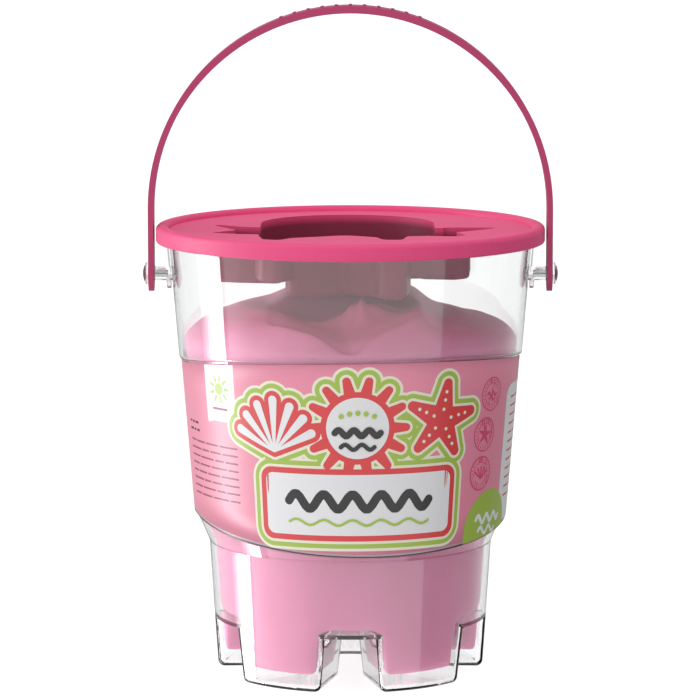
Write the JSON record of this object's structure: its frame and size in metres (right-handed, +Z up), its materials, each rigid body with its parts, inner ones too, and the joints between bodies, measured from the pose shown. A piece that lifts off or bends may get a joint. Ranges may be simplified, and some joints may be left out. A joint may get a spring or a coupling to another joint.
{
  "type": "sand bucket",
  "caption": "Clear castle-footed sand bucket with a press-on lid that holds a crab mould, a swinging strap handle on studs, a wrap label and a bag of pink sand.",
  "frame": {"origin": "centre of the bucket on the plane its feet stand on", "axes": "+Z up the bucket's axis; the handle pivots lie on X; the label's front and the gap between the two front feet look along -Y"},
  "size_m": [0.1792, 0.1676, 0.2887],
  "materials": {
    "clear_plastic": "clear, polished moulding",
    "pink_plastic": "satin moulded, hot pink",
    "label_film": "printed film, satin",
    "bag_film": "thin clear film",
    "pink_sand": "fine kneadable play sand"
  },
  "bodies": {
    "bucket": {"bucket_shell": "clear_plastic", "pivot_stud_left": "clear_plastic", "pivot_stud_right": "clear_plastic", "label_wrap": "label_film", "sand_bag": "bag_film", "sand_fill": "pink_sand"},
    "handle": {"handle_strap": "pink_plastic"},
    "lid": {"lid": "pink_plastic"}
  },
  "joints": [
    {"name": "handle_swing", "type": "hinge", "parent": "bucket", "child": "handle", "pos_m": [0, 0, 0.1728], "axis": [1, 0, 0], "range_deg": [-130, 130]},
    {"name": "lid_lift", "type": "slide", "parent": "bucket", "child": "lid", "axis": [0, 0, 1], "range_m": [0, 0.018]}
  ]
}
